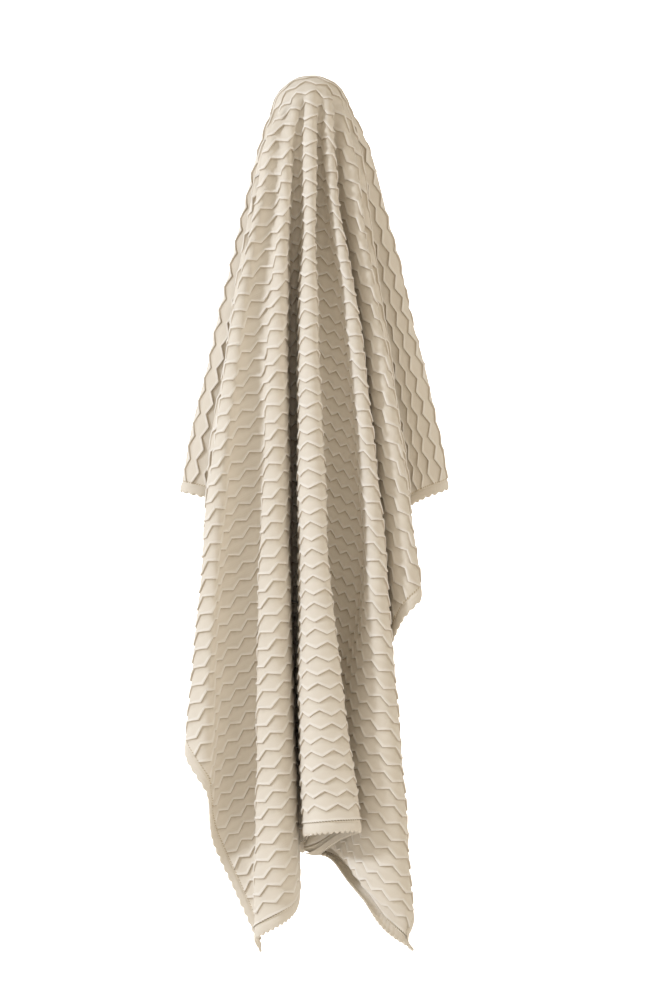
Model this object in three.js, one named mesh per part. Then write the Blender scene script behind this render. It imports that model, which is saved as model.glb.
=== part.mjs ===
import * as THREE from "three";

// Knitted blanket hung by its middle over a round peg, so that it falls in deep uneven folds.
// Millimetres, +Z up, front toward -Y, right toward +X. The origin is on the cloth's underside at the crown.

// Flat cloth, measured along it from the peg
const HALF_WIDTH = 400;      // to either side edge
const DROP = 688;            // to the bottom edge
const RISE = 312;            // to the top edge, behind
const HEM_ROLL = 17;         // taken up by the rolled bottom hem at the right corner
const ROLL_FROM = 11;        // degrees from straight down where the roll begins
const ROLL_TO = 18;          // degrees from straight down where the roll is full
const THICKNESS = 3;

// Crown over the peg's round end
const CROWN_RADIUS = 35;
const CROWN_REACH = 46;      // cloth radius where the folds leave the crown
const SHOULDER = 75;         // degrees from level of the cloth where it leaves the crown
const FOLDS_START = 28;      // cloth radius where the first folds show
const FOLDS_FULL = 105;      // cloth radius where they take up all the cloth
const SETTLED = 220;         // cloth radius from which a fold keeps its lean
const DRAWN_IN = 0.74;       // part of its flat width that the knit keeps where the folds start
const FULL_FROM = 60;        // cloth radius to which it stays drawn in
const FULL_AT = 240;         // cloth radius from which each pleat takes up its own part

// Cloth radii at which the table gives the plan position of each fold's ridge
const X_RADII = [80, 130, 220, 385, 580, 800];
const Y_RADII = [130, 385, 800];

// One row for each fold's ridge, in turn round the peg. ray is the ridge's direction on the flat cloth, with 0
// straight down to the bottom edge; face is the way its nose points in plan; nose is half its width per mm of
// radius; x and y are its plan position at the radii above.
const FOLDS = [
  { name: "left flap", ray: -90, face: -60, nose: 0.026,
    x: [-45, -58, -78, -114, -143, -168], y: [3, 4, 4] },
  { name: "left tuck", ray: -66, face: -85, nose: 0.020,
    x: [-41, -52, -67, -92, -97, -100], y: [-13, -18, -16] },
  { name: "left panel", ray: -38.5, face: -24, nose: 0.024,
    x: [-36, -44, -61.5, -82.5, -99.5, -107], y: [-36, -60, -85] },
  { name: "left fold", ray: -27, face: -8, nose: 0.028,
    x: [-21, -23.5, -28, -32, -32.5, -32], y: [-41, -62, -82] },
  { name: "middle fold", ray: 0, face: 3, nose: 0.031,
    x: [0.5, 1, 0, 4, 13, 29], y: [-43, -74, -108] },
  { name: "right fold", ray: 29.5, face: 12, nose: 0.025,
    x: [17.5, 21.5, 36, 54, 68, 83], y: [-38, -62, -88] },
  { name: "right panel", ray: 53.5, face: 10, nose: 0.023,
    x: [33, 40, 54.5, 78, 97, 103], y: [-30, -55, -71] },
  { name: "right tuck", ray: 70, face: 84, nose: 0.020,
    x: [42, 50, 62, 86, 100, 106], y: [-8, -2, 2] },
  { name: "right flap", ray: 86, face: 72, nose: 0.028,
    x: [49, 63, 85, 121, 142, 160], y: [6, 12, 14] },
  { name: "back right", ray: 114, face: 122, nose: 0.024,
    x: [39, 51, 64, 84, 82, 82], y: [30, 45, 49] },
  { name: "right top corner", ray: 127.4, face: 158, nose: 0.024,
    x: [31, 37, 46, 60, 62, 62], y: [42, 66, 68] },
  { name: "back inner right", ray: 154, face: 176, nose: 0.024,
    x: [16, 17, 21, 29, 30, 30], y: [49, 72, 74] },
  { name: "back middle", ray: 180, face: 180, nose: 0.024,
    x: [-1, -2, -3, -3, -4, -4], y: [50, 72, 74] },
  { name: "back inner left", ray: 206, face: 184, nose: 0.024,
    x: [-17, -21, -26, -35, -37, -37], y: [49, 72, 74] },
  { name: "left top corner", ray: 232.6, face: 202, nose: 0.024,
    x: [-31, -38, -49, -64, -66, -66], y: [42, 66, 68] },
  { name: "back left", ray: 246, face: 240, nose: 0.024,
    x: [-39, -51, -64, -85, -83, -83], y: [30, 45, 49] },
];

// One row for the pleat that follows each fold. share is where along the way to the next fold its valley
// lies, pull is the plan direction of its floor, full is the part of the flat cloth that it takes up, floor is
// half the width of its floor per mm of radius, and gather is how far along it the rest is gathered.
const PLEATS = [
  { after: "left flap", share: 0.50, pull: -78, full: 0.74, floor: 0.014, gather: 0.5 },
  { after: "left tuck", share: 0.16, pull: -80, full: 0.50, floor: 0.014, gather: 0.5 },
  { after: "left panel", share: 0.52, pull: 0, full: 0.92, floor: 0.045, gather: 0.5 },
  { after: "left fold", share: 0.42, pull: -1, full: 1.00, floor: 0.014, gather: 0.5 },
  { after: "middle fold", share: 0.52, pull: 12, full: 0.64, floor: 0.045, gather: 0.45 },
  { after: "right fold", share: 0.52, pull: 22, full: 1.00, floor: 0.014, gather: 0.5 },
  { after: "right panel", share: 0.60, pull: 60, full: 0.62, floor: 0.014, gather: 0.5 },
  { after: "right tuck", share: 0.50, pull: 84, full: 0.72, floor: 0.014, gather: 0.5 },
  { after: "right flap", share: 0.50, pull: 94, full: 0.70, floor: 0.014, gather: 0.5 },
  { after: "back right", share: 0.50, pull: 128, full: 0.66, floor: 0.014, gather: 0.5 },
  { after: "right top corner", share: 0.54, pull: 172, full: 0.60, floor: 0.014, gather: 0.5 },
  { after: "back inner right", share: 0.50, pull: 178, full: 0.60, floor: 0.014, gather: 0.5 },
  { after: "back middle", share: 0.50, pull: 182, full: 0.60, floor: 0.014, gather: 0.5 },
  { after: "back inner left", share: 0.46, pull: 188, full: 0.60, floor: 0.014, gather: 0.5 },
  { after: "left top corner", share: 0.50, pull: 234, full: 0.66, floor: 0.014, gather: 0.5 },
  { after: "back left", share: 0.50, pull: 268, full: 0.70, floor: 0.014, gather: 0.5 },
];

// Two pleats lie flat toward their hem, where the middle fold's nose opens
const FLAT = [
  { after: "left panel", share: 0.55, pull: -2, full: 0.86, floor: 0.034 },
  { after: "middle fold", share: 0.62, pull: 44, full: 0.53, floor: 0.014 },
];
const FLAT_FROM = 430;       // cloth radius where they begin to flatten
const FLAT_AT = 640;         // cloth radius from which they are flat
const OPENED = { fold: "middle fold", leaving: 0.35, arriving: 0.14, from: 537 };
const LEAST_NOSE = 5;
const LEAST_VALLEY = 4;
const HANDLE = 2.25;         // length of a curve's handle per half width
const LEAVE_ROOM = 0.40;     // most of a pleat's cloth that the handle at its first ridge takes
const ARRIVE_ROOM = 0.33;    // most of it that the handle at its second ridge takes
const VALLEY_ROOM = 0.15;    // most of it that the handle in a sharp valley takes
const FLOOR_ROOM = 6;        // how much that grows with the floor's half width

// Stations along each half of a pleat, from its ridge to its valley, and rows from the crown to the hem
const FRONT_STATIONS = [0, 0.09, 0.2, 0.34, 0.6, 0.84];
const BACK_STATIONS = [0, 0.16, 0.4, 0.7, 0.88];
const BACK_FROM = 86;        // rays past this one are behind
const CROWN_ROWS = [14, 28, 42, 58, 78, 104, 136];
const FALL_ROWS = 10;
const CURVE_STEPS = 16;
const DEPTH_TRIES = 20;
const SIZING_RADIUS = 440;   // cloth radius at which the stations are spaced
const LEANS_FROM = 110;      // cloth radius from which sections turn square to a leaning ridge
const LEANS_AT = 260;        // cloth radius from which they are square to it

const rad = THREE.MathUtils.degToRad;
const deg = THREE.MathUtils.radToDeg;
const ease = (from, to, value) => THREE.MathUtils.smoothstep(value, from, to);
const mix = THREE.MathUtils.lerp;

// Rays of the bottom corners, which each have a column of their own
const BOTTOM_CORNERS = [-deg(Math.atan2(HALF_WIDTH, DROP)), deg(Math.atan2(HALF_WIDTH, DROP - HEM_ROLL))];

// Distance from the peg to the blanket's edge along a ray of the flat cloth
function edgeDistance(ray) {
  const across = Math.abs(Math.sin(rad(ray)));
  const down = Math.cos(rad(ray));
  const bottom = DROP - HEM_ROLL * ease(ROLL_FROM, ROLL_TO, ray);
  const toSide = across > 1e-9 ? HALF_WIDTH / across : Infinity;
  const toBottom = down > 1e-9 ? bottom / down : Infinity;
  const toTop = down < -1e-9 ? RISE / -down : Infinity;
  return Math.min(toSide, toBottom, toTop);
}

// Smooth curve through the rows of a table
function along(radii, values, radius) {
  const last = radii.length - 1;
  const slope = (k) => {
    if (k === 0) return (values[1] - values[0]) / (radii[1] - radii[0]);
    if (k === last) return (values[last] - values[last - 1]) / (radii[last] - radii[last - 1]);
    const before = radii[k] - radii[k - 1];
    const after = radii[k + 1] - radii[k];
    const rise = (values[k] - values[k - 1]) / before;
    const next = (values[k + 1] - values[k]) / after;
    return (rise * after + next * before) / (before + after);
  };
  let k = 0;
  while (k < last - 1 && radius > radii[k + 1]) k += 1;
  const span = radii[k + 1] - radii[k];
  const t = (radius - radii[k]) / span;
  const start = 2 * t ** 3 - 3 * t ** 2 + 1;
  const leave = (t ** 3 - 2 * t ** 2 + t) * span;
  const arrive = (t ** 3 - t ** 2) * span;
  return start * values[k] + leave * slope(k) + (1 - start) * values[k + 1] + arrive * slope(k + 1);
}

// Plan position of a fold's ridge
function ridgePlan(fold, radius) {
  const lip = CROWN_RADIUS * Math.sin(CROWN_REACH / CROWN_RADIUS);
  const out = { x: Math.sin(rad(fold.ray)), y: -Math.cos(rad(fold.ray)) };
  const crown = CROWN_RADIUS * Math.sin(Math.min(radius / CROWN_RADIUS, Math.PI / 2));
  const reach = Math.max(radius, CROWN_REACH);
  const fallX = along([CROWN_REACH, ...X_RADII], [lip * out.x, ...fold.x], reach);
  const fallY = along([CROWN_REACH, ...Y_RADII], [lip * out.y, ...fold.y], reach);
  const fallen = ease(CROWN_REACH * 0.8, CROWN_REACH * 1.2, radius);
  return new THREE.Vector2(mix(crown * out.x, fallX, fallen), mix(crown * out.y, fallY, fallen));
}

// Height of a fold's ridge at every whole millimetre of radius, from the length of cloth that runs down it
function ridgeHeights(fold, longest) {
  const heights = [0];
  let last = ridgePlan(fold, 0);
  for (let radius = 1; radius <= longest; radius += 1) {
    const here = ridgePlan(fold, radius);
    const fall = Math.sqrt(Math.max(0, 1 - here.distanceToSquared(last)));
    heights.push(heights[radius - 1] - fall);
    last = here;
  }
  return heights;
}

function heightAt(heights, radius) {
  const k = Math.min(Math.floor(radius), heights.length - 2);
  return mix(heights[k], heights[k + 1], radius - k);
}

// How much higher a point lies than a ridge, on a section square to that ridge where it leans
function squareRise(fold, radius, point) {
  const lean = ridgePlan(fold, radius + 1).sub(ridgePlan(fold, radius - 1)).multiplyScalar(0.5);
  return point.clone().sub(ridgePlan(fold, radius)).dot(lean) * ease(LEANS_FROM, LEANS_AT, radius);
}

// The smooth bell that the cloth follows above its folds
function bellPoint(ray, radius) {
  const round = Math.min(radius, CROWN_REACH) / CROWN_RADIUS;
  const past = Math.max(0, radius - CROWN_REACH);
  const wide = CROWN_RADIUS * Math.sin(round) + past * Math.cos(rad(SHOULDER));
  const low = CROWN_RADIUS * (1 - Math.cos(round)) + past * Math.sin(rad(SHOULDER));
  return new THREE.Vector3(wide * Math.sin(rad(ray)), -wide * Math.cos(rad(ray)), -low);
}

function bezier(a, b, c, d, t) {
  const s = 1 - t;
  const point = a.clone().multiplyScalar(s ** 3);
  point.addScaledVector(b, 3 * t * s ** 2);
  point.addScaledVector(c, 3 * t ** 2 * s);
  return point.addScaledVector(d, t ** 3);
}

const heading = (degrees) => new THREE.Vector2(Math.cos(rad(degrees)), Math.sin(rad(degrees)));

// Plan curve of one pleat: from a ridge round its nose into the valley, and out to the next ridge
function pleatPoints(plan, depth) {
  const lean = heading(plan.pull);
  const inward = new THREE.Vector2(-lean.y, lean.x);
  const valley = plan.from.clone().lerp(plan.to, plan.share).addScaledVector(inward, depth);
  const leave = plan.from.clone().addScaledVector(heading(plan.fromFace), plan.fromHandle);
  const arrive = plan.to.clone().addScaledVector(heading(plan.toFace), -plan.toHandle);
  const before = valley.clone().addScaledVector(lean, -plan.valleyHandle);
  const after = valley.clone().addScaledVector(lean, plan.valleyHandle);
  const points = [];
  for (let k = 0; k < CURVE_STEPS; k += 1) {
    points.push(bezier(plan.from, leave, before, valley, k / CURVE_STEPS));
  }
  for (let k = 0; k <= CURVE_STEPS; k += 1) {
    points.push(bezier(valley, after, arrive, plan.to, k / CURVE_STEPS));
  }
  return points;
}

function runningLength(points) {
  const lengths = [0];
  for (let k = 1; k < points.length; k += 1) lengths.push(lengths[k - 1] + points[k].distanceTo(points[k - 1]));
  return lengths;
}

// Where a pleat's valley lies, the way it opens, its floor and the part of the cloth it takes up, at one radius
function pleatShape(index, radius) {
  const pleat = PLEATS[index];
  const hem = FLAT.find((row) => row.after === pleat.after) ?? pleat;
  const flat = ease(FLAT_FROM, FLAT_AT, radius);
  const full = mix(pleat.full, hem.full, flat);
  return {
    share: mix(pleat.share, hem.share, flat),
    pull: mix(pleat.pull, hem.pull, flat),
    full: mix(DRAWN_IN, full, ease(FULL_FROM, FULL_AT, radius)),
    floor: mix(pleat.floor, hem.floor, flat),
  };
}

// Half width of a fold's nose, on the side where the next pleat leaves it or where the last one arrives
function noseWidth(fold, radius, side) {
  const opened = fold.name === OPENED.fold ? OPENED[side] * ease(OPENED.from, DROP, radius) : 0;
  return fold.nose * (1 + opened);
}

// The pleat after a fold at one radius, its valley as deep as its length of cloth asks
function pleatAt(index, radius) {
  const fold = FOLDS[index];
  const next = FOLDS[(index + 1) % FOLDS.length];
  const pleat = pleatShape(index, radius);
  const turn = next.ray < fold.ray ? 360 : 0;
  const middle = (fold.ray + next.ray + turn) / 2;
  const settled = ease(40, SETTLED, radius);
  const cloth = radius * rad(next.ray + turn - fold.ray) * pleat.full;
  const grown = ease(20, 70, radius);
  const handle = (room, least, part) => Math.min(room * cloth, HANDLE * Math.max(least * grown, part * radius));
  const plan = {
    from: ridgePlan(fold, radius),
    to: ridgePlan(next, radius),
    fromFace: mix(fold.ray, fold.face, ease(40, 200, radius)),
    toFace: mix(next.ray, next.face, ease(40, 200, radius)) + turn,
    share: mix(0.5, pleat.share, settled),
    pull: mix(middle, pleat.pull, settled),
    fromHandle: handle(LEAVE_ROOM, LEAST_NOSE, noseWidth(fold, radius, "leaving")),
    toHandle: handle(ARRIVE_ROOM, LEAST_NOSE, noseWidth(next, radius, "arriving")),
    valleyHandle: handle(VALLEY_ROOM + FLOOR_ROOM * pleat.floor, LEAST_VALLEY, pleat.floor),
  };
  let shallow = 0;
  let deep = cloth;
  let points = pleatPoints(plan, 0);
  if (runningLength(points).at(-1) >= cloth) return points;
  for (let k = 0; k < DEPTH_TRIES; k += 1) {
    const depth = (shallow + deep) / 2;
    points = pleatPoints(plan, depth);
    if (runningLength(points).at(-1) < cloth) shallow = depth;
    else deep = depth;
  }
  return points;
}

function pointAtShare(points, lengths, share) {
  const goal = share * lengths.at(-1);
  let k = 0;
  while (k < points.length - 2 && lengths[k + 1] < goal) k += 1;
  const step = lengths[k + 1] - lengths[k];
  return points[k].clone().lerp(points[k + 1], step > 0 ? (goal - lengths[k]) / step : 0);
}

// Share of a pleat's flat cloth that lies before a point part of the way along its curve
function clothShare(index, radius, way) {
  const full = pleatShape(index, radius).full;
  const gathered = way ** (Math.log(0.5) / Math.log(PLEATS[index].gather));
  return mix(gathered ** 3 * (10 - 15 * gathered + 6 * gathered ** 2), way, full);
}

// The way along a pleat's curve at which a share of its flat cloth lies
function wayAt(index, radius, share) {
  let low = 0;
  let high = 1;
  for (let k = 0; k < DEPTH_TRIES; k += 1) {
    const way = (low + high) / 2;
    if (clothShare(index, radius, way) < share) low = way;
    else high = way;
  }
  return share > 0 ? (low + high) / 2 : 0;
}

// Columns of the sheet: the share of each pleat's cloth at which a column runs down it
function columnShares(index) {
  const stations = FOLDS[index].ray >= BACK_FROM ? BACK_STATIONS : FRONT_STATIONS;
  const lengths = runningLength(pleatAt(index, SIZING_RADIUS));
  const back = [1, ...stations.slice(1).reverse()];
  const marks = [...stations, ...back.map((t) => 2 - t)];
  const shares = marks.map((t) => {
    const at = t * CURVE_STEPS;
    const k = Math.min(Math.floor(at), lengths.length - 2);
    return clothShare(index, SIZING_RADIUS, mix(lengths[k], lengths[k + 1], at - k) / lengths.at(-1));
  });
  for (const corner of BOTTOM_CORNERS) {
    const share = (corner - FOLDS[index].ray) / (FOLDS[(index + 1) % FOLDS.length].ray - FOLDS[index].ray);
    const off = shares.map((value) => Math.abs(value - share));
    const nearest = off.indexOf(Math.min(...off.slice(1)));
    if (share > 0 && share < 1) shares[nearest] = share;
  }
  return shares;
}

// Middle surface: rows from the crown to the hem, columns round the peg
function middleSurface() {
  const longest = Math.ceil(Math.hypot(HALF_WIDTH, DROP)) + 1;
  const heights = FOLDS.map((fold) => ridgeHeights(fold, longest));
  const rows = Array.from({ length: CROWN_ROWS.length + FALL_ROWS }, () => []);
  FOLDS.forEach((fold, index) => {
    const after = (index + 1) % FOLDS.length;
    const turn = FOLDS[after].ray < fold.ray ? 360 : 0;
    for (const share of columnShares(index)) {
      const ray = mix(fold.ray, FOLDS[after].ray + turn, share);
      const fall = edgeDistance(ray > 180 ? ray - 360 : ray) - CROWN_ROWS.at(-1);
      rows.forEach((row, k) => {
        const past = k - CROWN_ROWS.length + 1;
        const radius = past <= 0 ? CROWN_ROWS[k] : CROWN_ROWS.at(-1) + (fall * past) / FALL_ROWS;
        const points = pleatAt(index, radius);
        const plan = pointAtShare(points, runningLength(points), wayAt(index, radius, share));
        const low = mix(
          heightAt(heights[index], radius) + squareRise(fold, radius, plan),
          heightAt(heights[after], radius) + squareRise(FOLDS[after], radius, plan),
          share,
        );
        const folded = new THREE.Vector3(plan.x, plan.y, low);
        const point = bellPoint(ray, radius).lerp(folded, ease(FOLDS_START, FOLDS_FULL, radius));
        point.z += THICKNESS / 2;
        row.push(point);
      });
    }
  });
  return rows;
}

// Closed sheet: the middle surface moved half the thickness each way, joined round the hem
function sheetGeometry(rows) {
  const count = rows[0].length;
  const crown = new THREE.Vector3(0, 0, THICKNESS / 2);
  const normals = rows.map((row, k) => row.map((point, j) => {
    const round = row[(j + 1) % count].clone().sub(row[(j + count - 1) % count]);
    const above = k === 0 ? crown : rows[k - 1][j];
    const below = rows[Math.min(k + 1, rows.length - 1)][j].clone().sub(above);
    return below.cross(round).normalize();
  }));
  const positions = [];
  const index = [];
  for (const side of [1, -1]) {
    positions.push(0, 0, crown.z + (side * THICKNESS) / 2);
    rows.forEach((row, k) => row.forEach((point, j) => {
      const moved = point.clone().addScaledVector(normals[k][j], (side * THICKNESS) / 2);
      positions.push(moved.x, moved.y, moved.z);
    }));
  }
  const under = 1 + rows.length * count;
  const at = (base, k, j) => base + 1 + k * count + (j % count);
  for (let j = 0; j < count; j += 1) {
    index.push(0, at(0, 0, j), at(0, 0, j + 1));
    index.push(under, at(under, 0, j + 1), at(under, 0, j));
    for (let k = 0; k < rows.length - 1; k += 1) {
      index.push(at(0, k, j), at(0, k + 1, j), at(0, k + 1, j + 1));
      index.push(at(0, k, j), at(0, k + 1, j + 1), at(0, k, j + 1));
      index.push(at(under, k, j), at(under, k + 1, j + 1), at(under, k + 1, j));
      index.push(at(under, k, j), at(under, k, j + 1), at(under, k + 1, j + 1));
    }
    const hem = rows.length - 1;
    index.push(at(0, hem, j), at(under, hem, j), at(under, hem, j + 1));
    index.push(at(0, hem, j), at(under, hem, j + 1), at(0, hem, j + 1));
  }
  const geometry = new THREE.BufferGeometry();
  geometry.setAttribute("position", new THREE.Float32BufferAttribute(positions, 3));
  geometry.setIndex(index);
  geometry.computeVertexNormals();
  return geometry;
}

const knit = new THREE.MeshStandardMaterial({ color: 0xe9e0d0, roughness: 0.95, metalness: 0 });
knit.name = "cream_knit";

const blanket = new THREE.Mesh(sheetGeometry(middleSurface()), knit);
blanket.name = "blanket";

const part = new THREE.Group();
part.name = "knitted_blanket";
part.add(blanket);

export default part;
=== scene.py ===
import math
from collections import namedtuple

import bpy
import numpy as np
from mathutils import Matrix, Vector


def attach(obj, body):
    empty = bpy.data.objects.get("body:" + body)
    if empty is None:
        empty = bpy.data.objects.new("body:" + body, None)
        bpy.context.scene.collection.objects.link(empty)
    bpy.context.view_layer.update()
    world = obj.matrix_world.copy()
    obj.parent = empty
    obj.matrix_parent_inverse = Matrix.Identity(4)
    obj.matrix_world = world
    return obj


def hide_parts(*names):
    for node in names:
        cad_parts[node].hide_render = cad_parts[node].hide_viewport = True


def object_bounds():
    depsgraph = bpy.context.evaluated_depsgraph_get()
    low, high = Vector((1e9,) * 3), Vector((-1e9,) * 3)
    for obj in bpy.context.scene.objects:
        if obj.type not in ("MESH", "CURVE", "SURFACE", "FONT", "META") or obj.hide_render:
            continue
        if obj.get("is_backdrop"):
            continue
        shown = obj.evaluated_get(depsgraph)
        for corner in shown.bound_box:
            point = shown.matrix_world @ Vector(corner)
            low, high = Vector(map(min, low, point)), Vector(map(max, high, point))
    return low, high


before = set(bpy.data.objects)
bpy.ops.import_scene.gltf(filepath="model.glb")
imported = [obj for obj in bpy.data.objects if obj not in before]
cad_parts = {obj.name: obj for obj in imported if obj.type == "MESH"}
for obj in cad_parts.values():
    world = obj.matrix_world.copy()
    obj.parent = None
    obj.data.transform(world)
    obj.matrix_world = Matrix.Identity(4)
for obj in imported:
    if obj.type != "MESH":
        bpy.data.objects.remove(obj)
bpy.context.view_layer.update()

# Blanket. One piece of soft cream cotton, 80 x 100 cm, knitted in raised zigzag lines that close into flat
# cells, with a plain band turned under along each edge. It hangs by a point on its centre line from the round
# end of a peg, and falls in sixteen uneven folds.

# Its drape: every fold follows one ray of the flat cloth from the peg. Lengths are in millimetres, and radii
# run along the cloth from the peg. A ray of 0 degrees points straight down, a negative one to the left, and a
# nose or valley that faces 0 faces the front.
MM = .001
HALF_WIDTH, DROP, RISE = 400.0, 688.0, 312.0
CROWN_RADIUS, CROWN_REACH, SHOULDER = 35.0, 46.0, math.radians(75)
# radii between which a ridge leaves the round crown, and between which the folds start
CROWN_BLEND, CROWN_FOLDS = (.8 * CROWN_REACH, 1.2 * CROWN_REACH), (18, 50)
CLOTH_ABOVE_PEG = 2.4
X_RADII, Y_RADII = (80, 130, 220, 385, 580, 800), (130, 385, 800)
# A ridge: its ray, the way its nose faces, the nose's half width for each mm of radius, plan x and y at those
# radii. The pleat after it: where its valley lies between the ridges, the way that is pulled to face, how much
# of the flat cloth it takes up, its floor's half width for each mm of radius, where its spare cloth gathers,
# and how full it is at the crown.
Fold = namedtuple("Fold", "ray face nose xs ys share pull full floor gather crown_full")
FOLDS = [Fold(*row) for row in (
    (-90, -60, .026, (-45, -58, -78, -114, -143, -168), (3, 4, 4), .50, -78, .74, .014, .5, .78),
    (-66, -85, .020, (-41, -52, -67, -92, -97, -100), (-13, -18, -16), .16, -80, .50, .014, .5, .74),
    (-38.5, -24, .024, (-36, -44, -61.5, -82.5, -99.5, -107), (-36, -60, -85), .52, 0, .92, .045, .5, 1.15),
    (-27, -8, .028, (-21, -23.5, -28, -32, -32.5, -32), (-41, -62, -82), .42, -1, 1.0, .014, .5, 1.0),
    (0, 3, .031, (.5, 1, 0, 4, 13, 29), (-43, -74, -108), .52, 12, .64, .045, .45, 1.0),
    (29.5, 12, .025, (17.5, 21.5, 36, 54, 68, 83), (-38, -62, -88), .52, 22, 1.0, .014, .5, 1.15),
    (53.5, 10, .023, (33, 40, 54.5, 78, 97, 103), (-30, -55, -71), .60, 60, .62, .014, .5, 1.0),
    (70, 84, .020, (42, 50, 62, 86, 100, 106), (-8, -2, 2), .50, 84, .72, .014, .5, .80),
    (86, 72, .028, (49, 63, 85, 121, 142, 160), (6, 12, 14), .50, 94, .70, .014, .5, .88),
    (114, 122, .024, (39, 51, 64, 84, 82, 82), (30, 45, 49), .50, 128, .66, .014, .5, .88),
    (127.4, 158, .024, (31, 37, 46, 60, 62, 62), (42, 66, 68), .54, 172, .60, .014, .5, .88),
    (154, 176, .024, (16, 17, 21, 29, 30, 30), (49, 72, 74), .50, 178, .60, .014, .5, .88),
    (180, 180, .024, (-1, -2, -3, -3, -4, -4), (50, 72, 74), .50, 182, .60, .014, .5, .88),
    (206, 184, .024, (-17, -21, -26, -35, -37, -37), (49, 72, 74), .46, 188, .60, .014, .5, .88),
    (232.6, 202, .024, (-31, -38, -49, -64, -66, -66), (42, 66, 68), .50, 234, .66, .014, .5, .88),
    (246, 240, .024, (-39, -51, -64, -85, -83, -83), (30, 45, 49), .50, 268, .70, .014, .5, .88),
)]
# share, pull, full and floor at the hem, by ray, of the two pleats that lie flatter there
FLAT = {-38.5: (.55, -2, .86, .034), 0: (.62, 44, .53, .014)}
# radii between which a pleat grows round, takes its lean and turns its noses
ROUNDS, LEANS, TURNS = (14, 42), (30, 95), (30, 110)
# radii between which it comes to its own fullness, its section turns square to its ridges, and it flattens
FILLS, SQUARES, FLATTENS = (90, 300), (110, 260), (430, 640)
# the middle fold opens toward its hem: by how much, what part of that on its left, over which part of the drop
MIDDLE_RAY, MIDDLE_OPENS, OPENS_LEFT, OPENS_OVER = 0, .40, .4, (.64, .95)
# A pleat's curve runs on from a nose or floor by this many half widths, each at least so many mm.
RUN_ON, NOSE_LEAST, FLOOR_LEAST = 2.25, 5, 4
# It runs on by no more than a part of its cloth: leaving, arriving, and in the valley, where the floor adds.
LEAVE_MOST, ARRIVE_MOST, VALLEY_ROOM, FLOOR_ROOM = .40, .33, .15, 6
RING_STEP, CURVE_POINTS, HALVINGS = 2.0, 25, 22
RINGS = np.arange(0, 830, RING_STEP)
SHARES = np.linspace(0, 1, 81)


def ease(start, end, value):
    t = np.clip((value - start) / (end - start), 0, 1)
    return t * t * (3 - 2 * t)


def mix(a, b, t):
    return a + (b - a) * t


def through(radii, values, at):
    """A smooth curve through values at those radii."""
    radii, values = np.array(radii, float), np.array(values, float)
    slope = np.gradient(values, radii)
    k = np.clip(np.searchsorted(radii, at) - 1, 0, len(radii) - 2)
    span = radii[k + 1] - radii[k]
    t = (at - radii[k]) / span
    start = 2 * t**3 - 3 * t**2 + 1
    bend = (t**3 - 2 * t**2 + t) * slope[k] + (t**3 - t**2) * slope[k + 1]
    return start * values[k] + (1 - start) * values[k + 1] + span * bend


def heading(degrees):
    return np.stack([np.cos(np.radians(degrees)), np.sin(np.radians(degrees))], -1)


def ridge(fold):
    """A ridge's plan and height, ring by ring, as long as the cloth along its ray."""
    lip = CROWN_RADIUS * math.sin(CROWN_REACH / CROWN_RADIUS)
    out = heading(fold.ray - 90)
    reach = np.maximum(RINGS, CROWN_REACH)
    x = through((CROWN_REACH, *X_RADII), (lip * out[0], *fold.xs), reach)
    y = through((CROWN_REACH, *Y_RADII), (lip * out[1], *fold.ys), reach)
    crown = CROWN_RADIUS * np.sin(np.minimum(RINGS / CROWN_RADIUS, math.pi / 2))
    fallen = ease(*CROWN_BLEND, RINGS)[:, None]
    plan = mix(crown[:, None] * out, np.stack([x, y], -1), fallen)
    step = RING_STEP ** 2 - (np.diff(plan, axis=0) ** 2).sum(1)
    return plan, np.concatenate([[0], -np.cumsum(np.sqrt(np.maximum(step, 0)))])


def cubic(a, b, c, d):
    t = np.linspace(0, 1, CURVE_POINTS)[:, None]
    a, b, c, d = (p[:, None] for p in (a, b, c, d))
    return (1 - t)**3 * a + 3 * t * (1 - t)**2 * b + 3 * t**2 * (1 - t) * c + t**3 * d


def run(points):
    """Length along each curve up to each of its points."""
    steps = np.linalg.norm(np.diff(points, axis=1), axis=2)
    return np.concatenate([np.zeros((len(points), 1)), np.cumsum(steps, 1)], 1)


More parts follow.
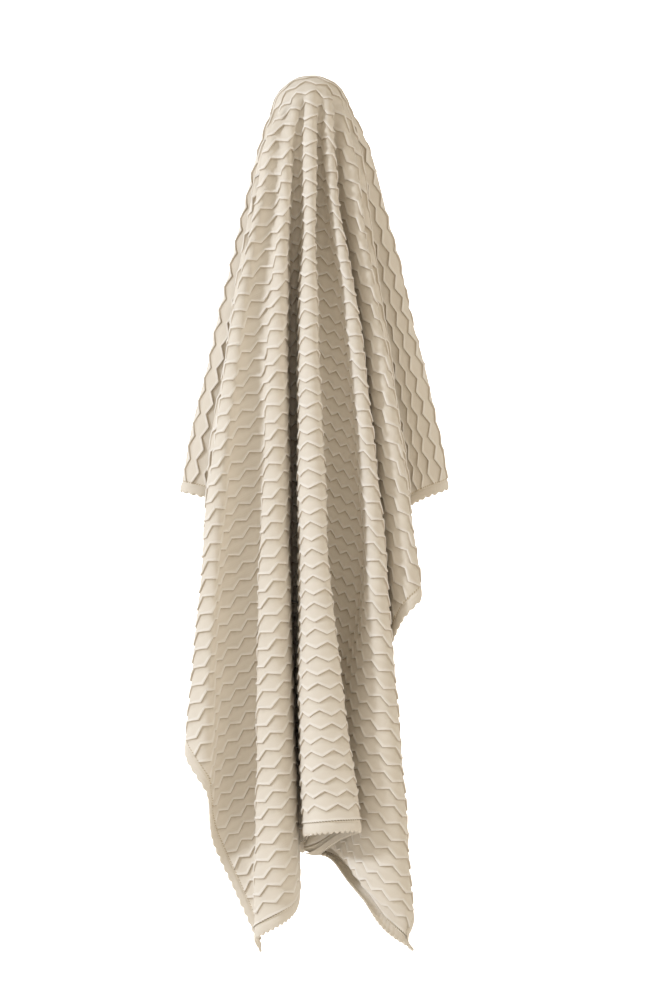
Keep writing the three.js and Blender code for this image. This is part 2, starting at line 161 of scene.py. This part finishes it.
def pleat(fold, after, plan, plan_after):
    """The plan of the cloth between two ridges. Its valley is as deep as its length of cloth asks."""
    turn = 360 if after.ray < fold.ray else 0
    usual = (fold.share, fold.pull, fold.full, fold.floor)
    at_hem = FLAT.get(fold.ray, usual)
    flattened = ease(*FLATTENS, RINGS)
    share, pull, full, floor = (mix(value, end, flattened) for value, end in zip(usual, at_hem))
    full = mix(fold.crown_full, full, ease(*FILLS, RINGS))
    middle = (fold.ray + after.ray + turn) / 2
    cloth = RINGS * math.radians(after.ray + turn - fold.ray) * full
    leaning = ease(*LEANS, RINGS)
    share = mix(.5, share, leaning)[:, None]
    valley_face = mix(middle, pull, leaning)
    lean = heading(valley_face)
    inward = np.stack([-lean[:, 1], lean[:, 0]], -1)
    grown = ease(*ROUNDS, RINGS)
    turned = ease(*TURNS, RINGS)
    opened = MIDDLE_OPENS * ease(*OPENS_OVER, RINGS / DROP)
    nose = fold.nose * (1 + opened * (fold.ray == MIDDLE_RAY))
    nose_after = after.nose * (1 + OPENS_LEFT * opened * (after.ray == MIDDLE_RAY))
    leave, arrive, sink = (
        heading(face) * np.minimum(most * cloth, RUN_ON * np.maximum(least * grown, half * RINGS))[:, None]
        for face, most, least, half in (
            (mix(fold.ray, fold.face, turned), LEAVE_MOST, NOSE_LEAST, nose),
            (mix(after.ray, after.face, turned), ARRIVE_MOST, NOSE_LEAST, nose_after),
            (valley_face, VALLEY_ROOM + FLOOR_ROOM * floor, FLOOR_LEAST, floor),
        )
    )

    def curve(depth):
        valley = mix(plan, plan_after, share) + inward * depth[:, None]
        first = cubic(plan, plan + leave, valley - sink, valley)
        second = cubic(valley, valley + sink, plan_after - arrive, plan_after)
        return np.concatenate([first, second[:, 1:]], 1)

    shallow, deep = np.zeros(len(RINGS)), cloth.copy()
    deep[run(curve(shallow))[:, -1] >= cloth] = 0
    for _ in range(HALVINGS):
        depth = (shallow + deep) / 2
        short = run(curve(depth))[:, -1] < cloth
        shallow, deep = np.where(short, depth, shallow), np.where(short, deep, depth)
    points = curve((shallow + deep) / 2)
    lengths = run(points)
    gathered = SHARES ** (math.log(.5) / math.log(fold.gather))
    gathered = gathered**3 * (10 - 15 * gathered + 6 * gathered**2)
    even = np.empty((len(RINGS), len(SHARES), 2))
    for k, length in enumerate(lengths):
        along = np.interp(SHARES, mix(gathered, SHARES, full[k]), SHARES) * length[-1]
        for axis in (0, 1):
            even[k, :, axis] = np.interp(along, length, points[k, :, axis])
    return even


def square(points, plan):
    """How much higher a point lies than its ridge, on a section square to the ridge where that leans."""
    lean = np.gradient(plan, RING_STEP, axis=0) * ease(*SQUARES, RINGS)[:, None]
    return ((points - plan[:, None]) * lean[:, None]).sum(-1)


ridges = [ridge(fold) for fold in FOLDS]
pleats = []
for k, fold in enumerate(FOLDS):
    after = (k + 1) % len(FOLDS)
    (start, low), (end, low_after) = ridges[k], ridges[after]
    points = pleat(fold, FOLDS[after], start, end)
    height = mix(low[:, None] + square(points, start), low_after[:, None] + square(points, end), SHARES)
    pleats.append(np.concatenate([points, height[..., None]], -1))
pleats = np.stack(pleats)
rays = np.array([fold.ray for fold in FOLDS] + [FOLDS[0].ray + 360.0])


def drape(across, up):
    """Where a point of the flat cloth hangs. across and up are measured from the peg."""
    radius = np.hypot(across, up)
    ray = np.degrees(np.arctan2(across, -up))
    ray = np.where(ray < rays[0], ray + 360, ray)
    k = np.clip(np.searchsorted(rays, ray, side="right") - 1, 0, len(FOLDS) - 1)
    share = (ray - rays[k]) / (rays[k + 1] - rays[k])
    i = np.minimum((radius / RING_STEP).astype(int), len(RINGS) - 2)
    j = np.minimum((share * (len(SHARES) - 1)).astype(int), len(SHARES) - 2)
    ti = radius / RING_STEP - i
    tj = (share * (len(SHARES) - 1) - j)[..., None]
    near = mix(pleats[k, i, j], pleats[k, i, j + 1], tj)
    far = mix(pleats[k, i + 1, j], pleats[k, i + 1, j + 1], tj)
    hung = mix(near, far, ti[..., None])
    bent = np.minimum(radius, CROWN_REACH) / CROWN_RADIUS
    past = np.maximum(0, radius - CROWN_REACH)
    wide = CROWN_RADIUS * np.sin(bent) + past * math.cos(SHOULDER)
    bell = CROWN_RADIUS * (1 - np.cos(bent)) + past * math.sin(SHOULDER)
    folded = ease(*CROWN_FOLDS, radius)
    plan = mix(wide[..., None] * heading(ray - 90), hung[..., :2], folded[..., None])
    height = mix(-bell, hung[..., 2], folded) + CLOTH_ABOVE_PEG
    return np.concatenate([plan, height[..., None]], -1)


# Its knit: raised lines run across the cloth in zigzags, each against the next, so that they close into flat
# cells. Every line has a lip that overhangs the cell below it. The bands along the edges have scalloped rims.
LINES, COLUMNS, BAND, SIDE_BAND = 84, 151, 11.0, 10.0
HALF_PERIOD, ZIGZAG = 10.4, 6.0
KNIT_SIDE = HALF_WIDTH - SIDE_BAND
PITCH = (DROP + RISE - 2 * BAND) / LINES
# rows from one line's lip up to the next: part of the pitch, height, spaces of a side band up to the next row
LIP_ROWS = ((-.06, .50, 1), (-.015, 1.20, 1), (.07, .95, 1), (.18, .25, 2), (.55, .05, 2), (.90, -.45, 1))
# rows of a band out from the knit: part of its width, height. Past RIM, its edge, it is turned under.
BAND_ROWS = ((.10, -.35), (.32, .35), (.62, .45), (.88, .25), (1, -.75), (.93, -1.9), (.45, -2.1))
RIM = 4
# scallops of the rims: length and depth, the part of the band where they start, what centres them on the rim
SIDE_SCALLOP, SIDE_SCALLOP_DEEP, HEM_SCALLOP, HEM_SCALLOP_DEEP = 8.6, 1.9, 5.2, 1.7
SCALLOP_FROM, SCALLOP_MEAN = .6, .6
# the part of a side band by which its rows have run straight, the part that is left where the hem at a corner
# lies as deep as the side band, and the hem's spaces to each of the knit
STRAIGHT_BY, CORNER_LEFT, HEM_SPACES = .7, .3, 4
# unevenness of the lines, of the lips as a part of their height, of the cloth: amount, shortest wave, seed
LINE_WANDER, LIP_UNEVEN, CLOTH_WAVE = (.35, 28, 5), (.22, 13, 6), (.7, 60, 3)
WAVES = 9
flat, faces = [], []


def patch(across, up, lift, course, raised):
    """Adds a block of points to the flat cloth and gives their numbers."""
    block = np.stack(np.broadcast_arrays(across, up, lift, course, raised), -1).astype(float)
    first = sum(len(part) for part in flat)
    flat.append(block.reshape(-1, block.shape[-1]))
    return first + np.arange(block[..., 0].size).reshape(block.shape[:2])


def weave(index, flip):
    """Faces between the rows and columns of a block."""
    index = index[:, ::-1] if flip else index
    corners = (index[:-1, :-1], index[:-1, 1:], index[1:, 1:], index[1:, :-1])
    faces.extend(np.stack(corners, -1).reshape(-1, 4).tolist())


def graft(coarse, fine, spaces, flip):
    """Faces between a row and a finer one that has so many spaces to each of its own."""
    at = 0
    for k, count in enumerate(spaces):
        ring = [coarse[k], coarse[k + 1], *fine[at:at + count + 1][::-1]]
        faces.append([int(v) for v in (ring[::-1] if flip else ring)])
        at += count


def waver(across, up, amount, length, seed):
    """Smooth seeded unevenness, with waves of that length and longer."""
    total = 0
    low, high = (0, .3, 0), (np.pi, 1, 2 * np.pi)
    for turn, part, shift in np.random.default_rng(seed).uniform(low, high, (WAVES, len(low))):
        step = 2 * np.pi * part / length
        wave = np.sin(step * (np.cos(turn) * across + np.sin(turn) * up) + shift)
        total = total + wave / math.sqrt(WAVES)
    return amount * total


columns = np.linspace(-KNIT_SIDE, KNIT_SIDE, COLUMNS)
zigzag = 2 * np.abs(((columns + KNIT_SIDE) / HALF_PERIOD) % 2 - 1) - 1
course = np.array([line + part for line in range(LINES) for part, _, _ in LIP_ROWS])
lift = np.array([height for _ in range(LINES) for _, height, _ in LIP_ROWS])
sway = np.interp(course, np.arange(LINES + 1), [0] + [-(-1) ** n for n in range(1, LINES)] + [0])
level = -DROP + BAND + PITCH * course
knit_up = level[:, None] + ZIGZAG / 2 * sway[:, None] * zigzag
knit_up += waver(columns, level[:, None], *LINE_WANDER)
raised = np.ones((len(course), 1))
raised[[0, -1]] = 0
uneven = lift[:, None] * (1 + waver(columns, level[:, None], *LIP_UNEVEN))
knit = patch(columns, knit_up, uneven, course[:, None], raised)
weave(knit, False)

spaces = [count for _ in range(LINES) for _, _, count in LIP_ROWS][:-1]
fine_row = np.concatenate([k + np.arange(n) / n for k, n in enumerate(spaces)] + [[len(spaces)]])
knit_row = np.arange(len(course))
band_out, band_lift = np.array(BAND_ROWS).T
sides = []
for side, column in ((-1, 0), (1, COLUMNS - 1)):
    up = np.interp(fine_row, knit_row, knit_up[:, column])
    straight = np.interp(fine_row, knit_row, level)
    scallop = np.abs(np.sin(np.pi * straight / SIDE_SCALLOP)) - SCALLOP_MEAN
    out = SIDE_BAND * band_out + SIDE_SCALLOP_DEEP * scallop[:, None] * ease(SCALLOP_FROM, 1, band_out)
    across = side * (KNIT_SIDE + out)
    up = mix(up[:, None], straight[:, None], ease(0, STRAIGHT_BY, band_out))
    rim = patch(across, up, band_lift, np.interp(fine_row, knit_row, course)[:, None], 0)
    weave(rim, side < 0)
    graft(knit[:, column], rim[:, 0], spaces, side > 0)
    sides.append(rim)

for end, row, edge in ((-1, 0, -DROP), (1, -1, RISE)):
    edge_row = np.concatenate([sides[0][row, RIM::-1], knit[row], sides[1][row, :RIM + 1]])
    coarse = np.arange(len(edge_row))
    fine = np.linspace(0, coarse[-1], HEM_SPACES * coarse[-1] + 1)
    known = np.concatenate(flat)[edge_row]
    across, from_up, from_lift = (np.interp(fine, coarse, known[:, k]) for k in range(3))
    beyond = ease(KNIT_SIDE, HALF_WIDTH - CORNER_LEFT * SIDE_BAND, np.abs(across))
    scallop = np.abs(np.sin(np.pi * across / HEM_SCALLOP)) - SCALLOP_MEAN
    up = mix(from_up, edge, band_out[:, None])
    up = up + end * HEM_SCALLOP_DEEP * scallop * ease(SCALLOP_FROM, 1, band_out)[:, None]
    rim = patch(across, up, band_lift[:, None] + beyond * np.minimum(from_lift, 0), course[row], 0)
    weave(rim, end < 0)
    graft(edge_row, rim[0], [HEM_SPACES] * (len(edge_row) - 1), end > 0)

# Its shape: each point of the flat cloth goes to its place on the drape, moved along the normal by the knit's
# relief. Toward the right corner the bottom hem curls back and then forward, so that its reverse shows.
CURL, CURL_PARTS, CURL_TURN = 34.0, (0, .25, .5, .75, 1), (0, -58, -58, 40, 150)
# the curl grows between two slants from the middle of the hem, and loses a part again between two others
CURL_GROWS, CURL_EASES, EASED = (11, 18), (25, 30), .55
# steps along the curl, and how far to each side of a point its slopes are taken
CURL_STEPS, PROBE = 20, .6


def sides_of(across, up):
    """The cloth's outward normal and its way down."""
    over = drape(across + PROBE, up) - drape(across - PROBE, up)
    along = drape(across, up - PROBE) - drape(across, up + PROBE)
    normal = np.cross(along, over)
    return [v / np.linalg.norm(v, axis=-1, keepdims=True) for v in (normal, along)]


across, up, lift, course, raised = np.concatenate(flat).T
lift = lift + waver(across, up, *CLOTH_WAVE)
spare = np.clip(CURL - DROP - up, 0, None)
slant = np.degrees(np.arctan2(across, DROP))
amount = ease(*CURL_GROWS, slant) * (1 - EASED * ease(*CURL_EASES, slant))
inner = spare[:, None] / CURL * (np.arange(CURL_STEPS) + .5) / CURL_STEPS
bend = np.radians(amount[:, None] * np.interp(inner, CURL_PARTS, CURL_TURN))
turn = np.radians(amount * np.interp(spare / CURL, CURL_PARTS, CURL_TURN))[:, None]
hung_up = up + spare - spare * np.cos(bend).mean(1)
normal, down = sides_of(across, hung_up)
points = drape(across, hung_up)
points += normal * (spare * np.sin(bend).mean(1))[:, None]
points += (normal * np.cos(turn) - down * np.sin(turn)) * lift[:, None]

mesh = bpy.data.meshes.new("blanket_knit")
mesh.from_pydata((points * MM).tolist(), [], faces)
mesh.polygons.foreach_set("use_smooth", np.ones(len(mesh.polygons), bool))
ends = np.empty(2 * len(mesh.edges), np.int32)
mesh.edges.foreach_get("vertices", ends)
row_of = np.full(len(mesh.vertices), -1)
row_of[knit] = np.arange(len(knit))[:, None]
row_of = row_of[ends.reshape(-1, 2)]
# Edges along the row under each lip are sharp, and so are those within the bands, where the row is -1.
sharp = (row_of[:, 0] == row_of[:, 1]) & (row_of[:, 0] % len(LIP_ROWS) == len(LIP_ROWS) - 1)
mesh.attributes.new("sharp_edge", "BOOLEAN", "EDGE").data.foreach_set("value", sharp)
for name, values in (("course", course), ("raised", raised)):
    mesh.attributes.new(name, "FLOAT", "POINT").data.foreach_set("value", values.astype(np.float32))
corner = np.empty(len(mesh.loops), np.int32)
mesh.loops.foreach_get("vertex_index", corner)
flat_map = np.stack([across, up], -1)[corner] * MM
mesh.uv_layers.new(name="flat").data.foreach_set("uv", flat_map.astype(np.float32).ravel())
blanket = bpy.data.objects.new("blanket_knit", mesh)
bpy.context.scene.collection.objects.link(blanket)
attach(blanket, "root")
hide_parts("blanket")

# Its cotton: matt, faintly fuzzy yarn in an uneven cream. Each lip has a painted highlight where light falls on
# it, the cell under it painted shade below the lip, and a dashed line of sewing shows where a band is stitched
# down.
CREAM, PALE, PAINTED_LIP_HIGHLIGHT, PAINTED_LIP_SHADE, SEWING = "#d9d0c1", "#e6ded0", "#f2ede5", "#9a8668", "#bfb096"
# how much of a colour there is, by part of the way from one line up to the next
# painted highlight: each lip is lightened where light would fall on it
PAINTED_LIP_HIGHLIGHT_STOPS = ((0, .8), (.10, .5), (.2, 0), (.94, 0), (.96, .8), (1, .8))
# painted shade: the cell just under each lip is darkened as if in the lip's shadow
PAINTED_LIP_SHADE_STOPS = ((0, 0), (.60, 0), (.80, .16), (.90, .50), (.94, .40), (.95, 0), (1, 0))
# sizes in mm of the cloudy patches in its colour and of the fuzz
CLOUD, FUZZ = 23.81, 1.4286
# the stitch, 344 to the width and 560 to the length, which is coarser than the real one so that it shows
STITCH_WIDE, STITCH_TALL, STITCH_DEEP = 2 * HALF_WIDTH / 344, (DROP + RISE) / 560, .6
# the sewing, 380 stitches to the length: a stitch, the part of it that shows, half its width, places from the peg
SEAM_STITCH, SEAM_DASH, SEAM_HALF = (DROP + RISE) / 380, .62, .6
SIDE_SEAM, BOTTOM_SEAM, TOP_SEAM = KNIT_SIDE + .2, DROP - BAND + .6, RISE - BAND + .6


def linear(code):
    parts = [int(code[k:k + 2], 16) / 255 for k in (1, 3, 5)]
    return [c / 12.92 if c <= .04045 else ((c + .055) / 1.055) ** 2.4 for c in parts] + [1]


cotton = bpy.data.materials.new("cream_knit")
cotton.use_nodes = True
tree = cotton.node_tree


def node(kind, output, inputs, **settings):
    """Adds a node with its settings, links and values, and gives one of its outputs."""
    made = tree.nodes.new("ShaderNode" + kind)
    for key, value in settings.items():
        setattr(made, key, value)
    for key, value in inputs.items():
        if isinstance(value, bpy.types.NodeSocket):
            tree.links.new(value, made.inputs[key])
        else:
            made.inputs[key].default_value = value
    return made.outputs[output]


shader = tree.nodes["Principled BSDF"]
shader.inputs["Roughness"].default_value = .92
shader.inputs["Sheen Weight"].default_value = .15
shader.inputs["Sheen Roughness"].default_value = .6
where = node("UVMap", "UV", {}, uv_map="flat")
line = node("Attribute", "Fac", {}, attribute_name="course")
on_knit = node("Attribute", "Fac", {}, attribute_name="raised")
side = node("SeparateXYZ", "X", {0: where})
height = node("SeparateXYZ", "Y", {0: where})

cloud = node("TexNoise", "Fac", {"Vector": where, "Scale": 1 / (CLOUD * MM), "Detail": 4.0})
tone = node("Mix", "Result", {"Factor": cloud, "A": linear(CREAM), "B": linear(PALE)}, data_type="RGBA")
phase = node("Math", 0, {0: line}, operation="FRACT")
# painted highlight along each lip, then painted shade in the cell just under it
for stops, colour in ((PAINTED_LIP_HIGHLIGHT_STOPS, PAINTED_LIP_HIGHLIGHT), (PAINTED_LIP_SHADE_STOPS, PAINTED_LIP_SHADE)):
    grey = node("ValToRGB", "Color", {"Fac": phase})
    elements = grey.node.color_ramp.elements
    for at, value in stops:
        # a new ramp has its first stop at 0 and its last at 1
        stop = elements.new(at) if 0 < at < 1 else elements[-at]
        stop.color = (value, value, value, 1)
    amount = node("Math", 0, {0: grey, 1: on_knit}, operation="MULTIPLY")
    tone = node("Mix", "Result", {"Factor": amount, "A": tone, "B": linear(colour)}, data_type="RGBA")

from_middle = node("Math", 0, {0: side}, operation="ABSOLUTE")
past_seam = node("Math", 0, {0: from_middle, 1: SIDE_SEAM * MM}, operation="SUBTRACT")
below = node("Math", 0, {0: -BOTTOM_SEAM * MM, 1: height}, operation="SUBTRACT")
above = node("Math", 0, {0: height, 1: TOP_SEAM * MM}, operation="SUBTRACT")
for past_end in (below, above):
    past_seam = node("Math", 0, {0: past_seam, 1: past_end}, operation="MAXIMUM")
from_seam = node("Math", 0, {0: past_seam}, operation="ABSOLUTE")
on_seam = node("Math", 0, {0: from_seam, 1: SEAM_HALF * MM}, operation="LESS_THAN")
along_seam = node("Math", 0, {0: side, 1: height}, operation="ADD")
along_seam = node("Math", 0, {0: along_seam, 1: SEAM_STITCH * MM}, operation="DIVIDE")
dash = node("Math", 0, {0: along_seam}, operation="FRACT")
dash = node("Math", 0, {0: dash, 1: SEAM_DASH}, operation="LESS_THAN")
seam = node("Math", 0, {0: dash, 1: on_seam}, operation="MULTIPLY")
tone = node("Mix", "Result", {"Factor": seam, "A": tone, "B": linear(SEWING)}, data_type="RGBA")

stitch = node("Math", 0, {0: side, 1: STITCH_WIDE * MM}, operation="DIVIDE")
stitch = node("Math", 0, {0: stitch, 1: .5}, operation="PINGPONG")
rows_up = node("Math", 0, {0: height, 1: STITCH_TALL * MM}, operation="DIVIDE")
stitch = node("Math", 0, {0: rows_up, 1: stitch}, operation="ADD")
stitch = node("Math", 0, {0: stitch, 1: .5}, operation="PINGPONG")
fuzz = node("TexNoise", "Fac", {"Vector": where, "Scale": 1 / (FUZZ * MM), "Detail": 2.0})
yarn = node("Math", 0, {0: stitch, 1: fuzz}, operation="ADD")
yarn = node("Math", 0, {0: yarn, 1: seam}, operation="SUBTRACT")
bump = node("Bump", "Normal", {"Strength": .35, "Distance": STITCH_DEEP * MM, "Height": yarn})
tree.links.new(bump, shader.inputs["Normal"])
tree.links.new(tone, shader.inputs["Base Color"])
mesh.materials.append(cotton)

# Stage. A pale sheet of card, floor and backdrop in one, that curves up behind the blanket. Soft light comes
# from the upper left in front, with a weaker one from the right, and the camera stands square to the blanket.
FLOOR, FLOOR_LINES, STAGE_HALF = -1.1, (-7, -3, 0, 3), 7
BEND_AT, BEND, BACKDROP_TOP = 4, 1.5, 4
pale = bpy.data.materials.new("pale_stage")
pale.use_nodes = True
pale.node_tree.nodes["Principled BSDF"].inputs["Base Color"].default_value = linear("#f4f2ef")
pale.node_tree.nodes["Principled BSDF"].inputs["Roughness"].default_value = 1
bend_turns = np.linspace(0, math.pi / 2, 9)
profile = [(y, FLOOR) for y in FLOOR_LINES]
profile += [(BEND_AT + BEND * math.sin(a), FLOOR + BEND - BEND * math.cos(a)) for a in bend_turns]
profile += [(BEND_AT + BEND, BACKDROP_TOP)]
stage_mesh = bpy.data.meshes.new("stage_sweep")
stage_mesh.from_pydata(
    [(x, y, z) for y, z in profile for x in (-STAGE_HALF, STAGE_HALF)], [],
    [(2 * k, 2 * k + 1, 2 * k + 3, 2 * k + 2) for k in range(len(profile) - 1)],
)
stage_mesh.polygons.foreach_set("use_smooth", np.ones(len(stage_mesh.polygons), bool))
stage_mesh.materials.append(pale)
stage = bpy.data.objects.new("stage_sweep", stage_mesh)
bpy.context.scene.collection.objects.link(stage)
stage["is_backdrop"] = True


def lamp(name, place, aim, size, power, colour):
    data = bpy.data.lights.new(name, "AREA")
    data.shape = "DISK"
    data.size = size
    data.energy = power
    data.color = linear(colour)[:3]
    made = bpy.data.objects.new(name, data)
    made.location = place
    made.rotation_euler = (Vector(aim) - Vector(place)).to_track_quat("-Z", "Y").to_euler()
    bpy.context.scene.collection.objects.link(made)


lamp("key", (-3.0, -1.25, 1.0), (0, 0, -.4), .42, 73, "#eaf2ff")
lamp("fill", (2.7, -1.9, .2), (0, 0, -.4), 1.8, 18, "#fffaf2")
lamp("backdrop_light", (0, 2.5, 2.0), (0, 5.5, -.3), 2, 250, "#ffffff")

world = bpy.data.worlds.new("studio")
world.use_nodes = True
world.node_tree.nodes["Background"].inputs["Color"].default_value = linear("#fff4e3")
world.node_tree.nodes["Background"].inputs["Strength"].default_value = .60
bpy.context.scene.world = world
bpy.context.scene.view_settings.view_transform = "Standard"

camera = bpy.data.objects.new("camera", bpy.data.cameras.new("camera"))
camera.location = (.020, -3.0, -.375)
camera.rotation_euler = (math.pi / 2, 0, 0)
camera.data.lens = 121.35
bpy.context.scene.collection.objects.link(camera)
bpy.context.scene.camera = camera

low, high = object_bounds()
